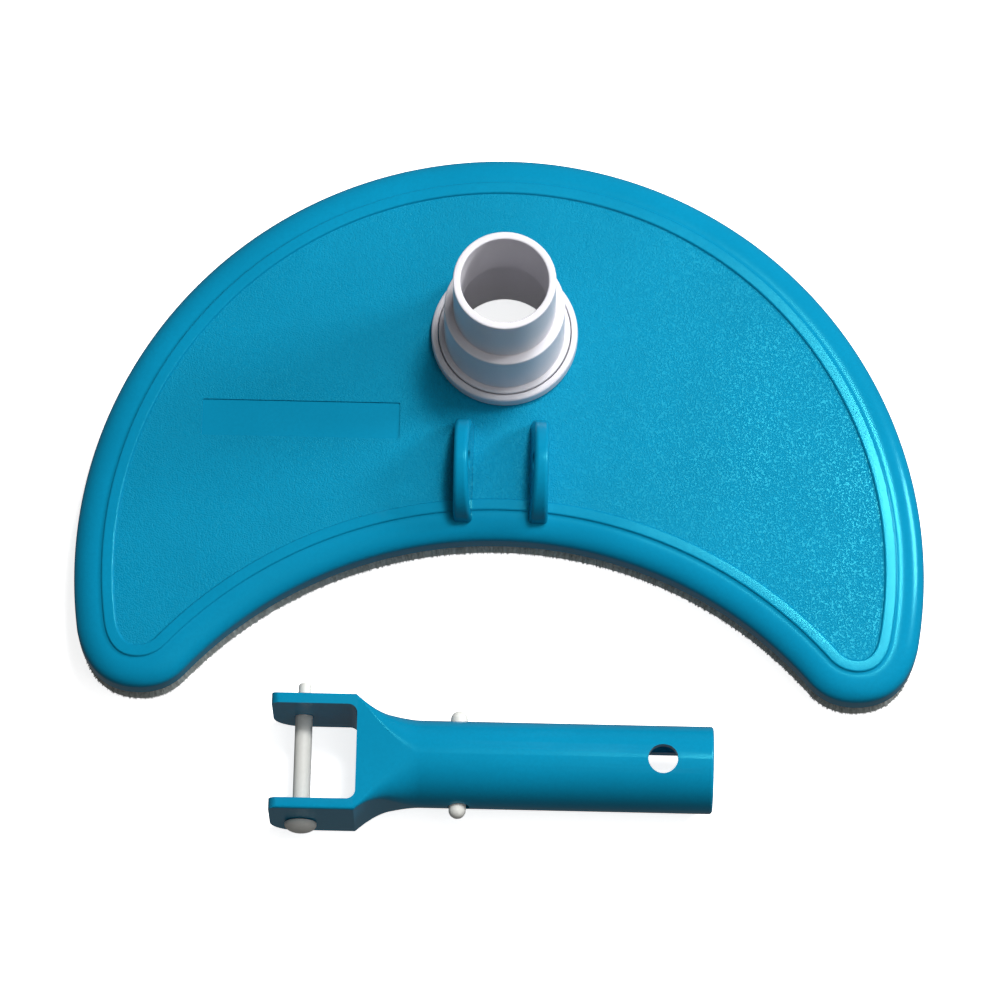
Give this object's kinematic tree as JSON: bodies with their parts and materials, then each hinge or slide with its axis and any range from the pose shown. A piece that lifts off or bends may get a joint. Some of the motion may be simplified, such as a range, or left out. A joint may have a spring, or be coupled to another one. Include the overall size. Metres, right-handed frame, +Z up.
{
  "type": "manual pool vacuum head",
  "caption": "Crescent pool vacuum head with swivel hose cuff, hinge lugs, brushes underneath and a detached swing handle with its hinge pin and snap clip.",
  "frame": {"origin": "on the floor, in the middle of the footprint of the head and the handle that lies in front of it", "axes": "+X along the head's width to its right tip, +Y from the handle towards the head's long outer edge, +Z up"},
  "size_m": [0.28, 0.2338, 0.0745],
  "materials": {
    "blue_plastic": "glossy turquoise moulded plastic, leather grain in the top panel",
    "cover_plastic": "satin turquoise moulded plastic",
    "white_plastic": "satin white moulded plastic",
    "nylon_white": "natural nylon",
    "black_rubber": "matt",
    "brush_base": "matt grey moulding",
    "bristle": "nylon filaments",
    "screw_steel": "stainless",
    "ballast_iron": "rough cast"
  },
  "bodies": {
    "head": {"head_shell": "blue_plastic", "cuff_collar": "white_plastic", "cuff_seal": "black_rubber", "brush_base_front": "brush_base", "brush_base_left": "brush_base", "brush_base_right": "brush_base", "bristles_front": "bristle", "bristles_left": "bristle", "bristles_right": "bristle", "brush_screw_front_1": "screw_steel", "brush_screw_front_2": "screw_steel", "brush_screw_front_3": "screw_steel", "brush_screw_left_1": "screw_steel", "brush_screw_left_2": "screw_steel", "brush_screw_right_1": "screw_steel", "brush_screw_right_2": "screw_steel", "cover_screw_left_1": "screw_steel", "cover_screw_left_2": "screw_steel", "cover_screw_right_1": "screw_steel", "cover_screw_right_2": "screw_steel", "ballast_left": "ballast_iron", "ballast_right": "ballast_iron", "ballast_cover_left": "cover_plastic", "ballast_cover_right": "cover_plastic"},
    "hose_cuff": {"hose_cuff": "white_plastic", "cuff_lock_ring": "white_plastic"},
    "handle": {"handle": "blue_plastic", "clip_bend": "nylon_white"},
    "hinge_pin": {"hinge_pin": "nylon_white"},
    "clip_arm_near": {"clip_arm_near": "nylon_white"},
    "clip_arm_far": {"clip_arm_far": "nylon_white"}
  },
  "joints": [
    {"name": "cuff_swivel", "type": "hinge", "parent": "head", "child": "hose_cuff", "pos_m": [0, 0.05275, 0.05], "axis": [0, 0, 1], "continuous": true},
    {"name": "handle_pivot", "type": "hinge", "parent": "head", "child": "handle", "pos_m": [-0.0627, -0.09375, 0.0115], "axis": [0, -1, 0], "range_deg": [0, 90]},
    {"name": "pin_pull", "type": "slide", "parent": "handle", "child": "hinge_pin", "axis": [0, -1, 0], "range_m": [0, 0.05]},
    {"name": "clip_near_press", "type": "hinge", "parent": "handle", "child": "clip_arm_near", "pos_m": [-0.0289, -0.10345, 0.01425], "axis": [0, 0, 1], "range_deg": [0, 12], "stiffness_Nm_per_rad": 0.6, "springref_deg": -8.59},
    {"name": "clip_far_press", "type": "hinge", "parent": "handle", "child": "clip_arm_far", "pos_m": [-0.0289, -0.08405, 0.01425], "axis": [0, 0, -1], "range_deg": [0, 12], "stiffness_Nm_per_rad": 0.6, "springref_deg": -8.59}
  ]
}
